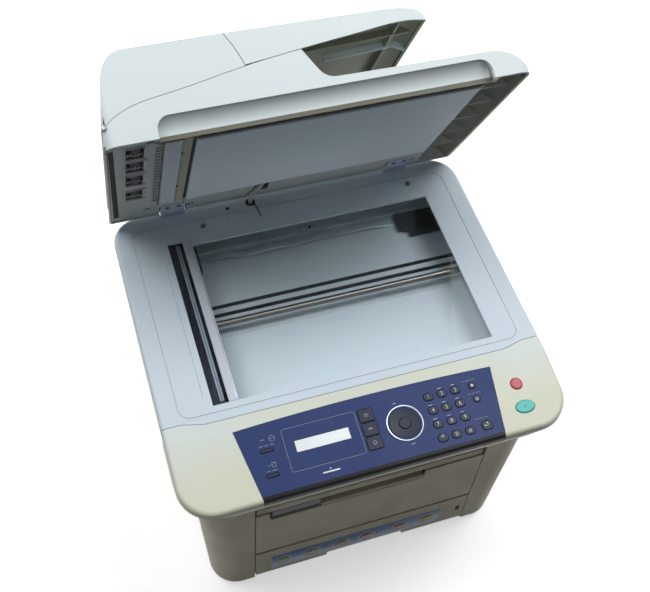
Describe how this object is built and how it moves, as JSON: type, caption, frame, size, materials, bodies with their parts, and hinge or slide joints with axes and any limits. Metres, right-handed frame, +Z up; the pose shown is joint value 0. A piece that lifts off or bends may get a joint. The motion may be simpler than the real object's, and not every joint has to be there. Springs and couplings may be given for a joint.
{
  "type": "multifunction printer",
  "caption": "Desktop printer with a flatbed scanner, an open lid with document feeder, a sloping key panel, a paper cassette and hinged doors.",
  "frame": {"origin": "centre of the bounding box in plan, at the height of the feet's soles", "axes": "X to the right seen from the front, Y to the back, Z up"},
  "size_m": [0.445, 0.4786, 0.6137],
  "materials": {
    "casing": "fine matt, pale warm grey",
    "cream": "fine matt, cream",
    "deck_white": "satin, cool white",
    "lid_white": "satin, cool white",
    "navy": "gloss, navy",
    "black": "matt black",
    "key_navy": "satin, very dark navy",
    "underside": "fine matt, light grey-beige",
    "red": "satin red",
    "teal": "satin teal",
    "display": "smooth, pale white",
    "steel": "plain",
    "rubber": "matt",
    "mat_white": "matt white",
    "pane": "clear"
  },
  "bodies": {
    "base": {"base_frame": "steel", "left_cover": "casing", "right_cover": "casing", "rear_cover": "casing", "rear_ports": "black", "toner_cartridge": "black", "output_tray": "casing", "rubber_feet": "rubber", "scanner_tub": "deck_white", "scanner_top_cover": "deck_white", "glass_panes": "pane", "carriage_rod": "steel", "scan_belt": "rubber", "scan_motor": "black", "ribbon_cable": "mat_white", "hinge_posts": "lid_white", "panel_cover": "cream", "panel_fascia": "navy", "display_window": "display", "lid_cable": "black"},
    "lid": {"lid_shell": "lid_white", "lid_liner": "underside", "lid_mat": "mat_white", "adf_feed_frame": "underside", "hinge_leaves": "lid_white", "input_tray": "lid_white"},
    "feeder_cover": {"adf_cover": "lid_white"},
    "front_guide": {"guide_front": "lid_white"},
    "rear_guide": {"guide_rear": "lid_white"},
    "feed_rollers": {"adf_rollers": "rubber"},
    "scan_head": {"carriage": "black"},
    "front_flap": {"front_door": "casing"},
    "rear_flap": {"rear_door": "casing"},
    "cassette": {"paper_cassette": "casing"},
    "paper_lift": {"lift_plate": "steel"},
    "mains_switch": {"power_switch": "black"},
    "key_1_body": {"key_1": "key_navy"},
    "key_2_body": {"key_2": "key_navy"},
    "key_3_body": {"key_3": "key_navy"},
    "key_4_body": {"key_4": "key_navy"},
    "key_5_body": {"key_5": "key_navy"},
    "key_6_body": {"key_6": "key_navy"},
    "key_7_body": {"key_7": "key_navy"},
    "key_8_body": {"key_8": "key_navy"},
    "key_9_body": {"key_9": "key_navy"},
    "key_star_body": {"key_star": "key_navy"},
    "key_0_body": {"key_0": "key_navy"},
    "key_hash_body": {"key_hash": "key_navy"},
    "redial_key_body": {"redial_key": "key_navy"},
    "pause_key_body": {"pause_key": "key_navy"},
    "on_hook_key_body": {"on_hook_key": "key_navy"},
    "menu_key_body": {"menu_key": "key_navy"},
    "back_key_body": {"back_key": "key_navy"},
    "cancel_key_body": {"cancel_key": "key_navy"},
    "id_copy_key_body": {"id_copy_key": "key_navy"},
    "usb_print_key_body": {"usb_print_key": "key_navy"},
    "ok_button_body": {"ok_button": "key_navy"},
    "nav_pad_body": {"nav_pad": "key_navy"},
    "stop_button_body": {"stop_button": "red"},
    "start_button_body": {"start_button": "teal"}
  },
  "joints": [
    {"name": "lid_hinge", "type": "hinge", "parent": "base", "child": "lid", "pos_m": [0, 0.15767, 0.3065], "axis": [1, 0, 0], "range_deg": [0, 64.2], "deforming": ["lid_cable"]},
    {"name": "feeder_cover_hinge", "type": "hinge", "parent": "lid", "child": "feeder_cover", "pos_m": [-0.2185, 0.10777, 0.44649], "axis": [0, -0.4352, 0.9003], "range_deg": [0, 80]},
    {"name": "front_guide_slide", "type": "slide", "parent": "lid", "child": "front_guide", "axis": [0, 0.4352, -0.9003], "range_m": [0, 0.055]},
    {"name": "rear_guide_slide", "type": "slide", "parent": "lid", "child": "rear_guide", "axis": [0, -0.4352, 0.9003], "range_m": [0, 0.055]},
    {"name": "feed_roller_turn", "type": "hinge", "parent": "lid", "child": "feed_rollers", "pos_m": [-0.191, 0.09696, 0.44126], "axis": [0, -0.4352, 0.9003], "continuous": true},
    {"name": "scan_head_slide", "type": "slide", "parent": "base", "child": "scan_head", "axis": [1, 0, 0], "range_m": [0, 0.296]},
    {"name": "front_flap_hinge", "type": "hinge", "parent": "base", "child": "front_flap", "pos_m": [0, -0.20803, 0.0853], "axis": [1, 0, 0], "range_deg": [0, 90]},
    {"name": "rear_flap_hinge", "type": "hinge", "parent": "base", "child": "rear_flap", "pos_m": [0, 0.14567, 0.099], "axis": [-1, 0, 0], "range_deg": [0, 95]},
    {"name": "cassette_slide", "type": "slide", "parent": "base", "child": "cassette", "axis": [0, -1, 0], "range_m": [0, 0.23]},
    {"name": "paper_lift_hinge", "type": "hinge", "parent": "cassette", "child": "paper_lift", "pos_m": [0, -0.03933, 0.022], "axis": [-1, 0, 0], "range_deg": [0, 12]},
    {"name": "mains_switch_tilt", "type": "hinge", "parent": "base", "child": "mains_switch", "pos_m": [0.158, 0.14517, 0.076], "axis": [1, 0, 0], "range_deg": [-8, 8]},
    {"name": "key_1_press", "type": "slide", "parent": "base", "child": "key_1_body", "axis": [0, 0.127, -0.9919], "range_m": [0, 0.0008], "stiffness_N_per_m": 600, "springref_m": -0.0005},
    {"name": "key_2_press", "type": "slide", "parent": "base", "child": "key_2_body", "axis": [0, 0.127, -0.9919], "range_m": [0, 0.0008], "stiffness_N_per_m": 600, "springref_m": -0.0005},
    {"name": "key_3_press", "type": "slide", "parent": "base", "child": "key_3_body", "axis": [0, 0.127, -0.9919], "range_m": [0, 0.0008], "stiffness_N_per_m": 600, "springref_m": -0.0005},
    {"name": "key_4_press", "type": "slide", "parent": "base", "child": "key_4_body", "axis": [0, 0.127, -0.9919], "range_m": [0, 0.0008], "stiffness_N_per_m": 600, "springref_m": -0.0005},
    {"name": "key_5_press", "type": "slide", "parent": "base", "child": "key_5_body", "axis": [0, 0.127, -0.9919], "range_m": [0, 0.0008], "stiffness_N_per_m": 600, "springref_m": -0.0005},
    {"name": "key_6_press", "type": "slide", "parent": "base", "child": "key_6_body", "axis": [0, 0.127, -0.9919], "range_m": [0, 0.0008], "stiffness_N_per_m": 600, "springref_m": -0.0005},
    {"name": "key_7_press", "type": "slide", "parent": "base", "child": "key_7_body", "axis": [0, 0.127, -0.9919], "range_m": [0, 0.0008], "stiffness_N_per_m": 600, "springref_m": -0.0005},
    {"name": "key_8_press", "type": "slide", "parent": "base", "child": "key_8_body", "axis": [0, 0.127, -0.9919], "range_m": [0, 0.0008], "stiffness_N_per_m": 600, "springref_m": -0.0005},
    {"name": "key_9_press", "type": "slide", "parent": "base", "child": "key_9_body", "axis": [0, 0.127, -0.9919], "range_m": [0, 0.0008], "stiffness_N_per_m": 600, "springref_m": -0.0005},
    {"name": "key_star_press", "type": "slide", "parent": "base", "child": "key_star_body", "axis": [0, 0.127, -0.9919], "range_m": [0, 0.0008], "stiffness_N_per_m": 600, "springref_m": -0.0005},
    {"name": "key_0_press", "type": "slide", "parent": "base", "child": "key_0_body", "axis": [0, 0.127, -0.9919], "range_m": [0, 0.0008], "stiffness_N_per_m": 600, "springref_m": -0.0005},
    {"name": "key_hash_press", "type": "slide", "parent": "base", "child": "key_hash_body", "axis": [0, 0.127, -0.9919], "range_m": [0, 0.0008], "stiffness_N_per_m": 600, "springref_m": -0.0005},
    {"name": "redial_key_press", "type": "slide", "parent": "base", "child": "redial_key_body", "axis": [0, 0.127, -0.9919], "range_m": [0, 0.0008], "stiffness_N_per_m": 600, "springref_m": -0.0005},
    {"name": "pause_key_press", "type": "slide", "parent": "base", "child": "pause_key_body", "axis": [0, 0.127, -0.9919], "range_m": [0, 0.0008], "stiffness_N_per_m": 600, "springref_m": -0.0005},
    {"name": "on_hook_key_press", "type": "slide", "parent": "base", "child": "on_hook_key_body", "axis": [0, 0.127, -0.9919], "range_m": [0, 0.0008], "stiffness_N_per_m": 600, "springref_m": -0.0005},
    {"name": "menu_key_press", "type": "slide", "parent": "base", "child": "menu_key_body", "axis": [0, 0.127, -0.9919], "range_m": [0, 0.0008], "stiffness_N_per_m": 600, "springref_m": -0.0005},
    {"name": "back_key_press", "type": "slide", "parent": "base", "child": "back_key_body", "axis": [0, 0.127, -0.9919], "range_m": [0, 0.0008], "stiffness_N_per_m": 600, "springref_m": -0.0005},
    {"name": "cancel_key_press", "type": "slide", "parent": "base", "child": "cancel_key_body", "axis": [0, 0.127, -0.9919], "range_m": [0, 0.0008], "stiffness_N_per_m": 600, "springref_m": -0.0005},
    {"name": "id_copy_key_press", "type": "slide", "parent": "base", "child": "id_copy_key_body", "axis": [0, 0.127, -0.9919], "range_m": [0, 0.0008], "stiffness_N_per_m": 600, "springref_m": -0.0005},
    {"name": "usb_print_key_press", "type": "slide", "parent": "base", "child": "usb_print_key_body", "axis": [0, 0.127, -0.9919], "range_m": [0, 0.0008], "stiffness_N_per_m": 600, "springref_m": -0.0005},
    {"name": "ok_button_press", "type": "slide", "parent": "base", "child": "ok_button_body", "axis": [0, 0.127, -0.9919], "range_m": [0, 0.0008], "stiffness_N_per_m": 600, "springref_m": -0.0005},
    {"name": "nav_pad_press", "type": "slide", "parent": "base", "child": "nav_pad_body", "axis": [0, 0.127, -0.9919], "range_m": [0, 0.0008], "stiffness_N_per_m": 600, "springref_m": -0.0005},
    {"name": "stop_button_press", "type": "slide", "parent": "base", "child": "stop_button_body", "axis": [0, 0.127, -0.9919], "range_m": [0, 0.0008], "stiffness_N_per_m": 600, "springref_m": -0.0005},
    {"name": "start_button_press", "type": "slide", "parent": "base", "child": "start_button_body", "axis": [0, 0.127, -0.9919], "range_m": [0, 0.0008], "stiffness_N_per_m": 600, "springref_m": -0.0005}
  ],
  "couplings": [
    {"joint": "rear_guide_slide", "follows": "front_guide_slide", "ratio": 1}
  ]
}
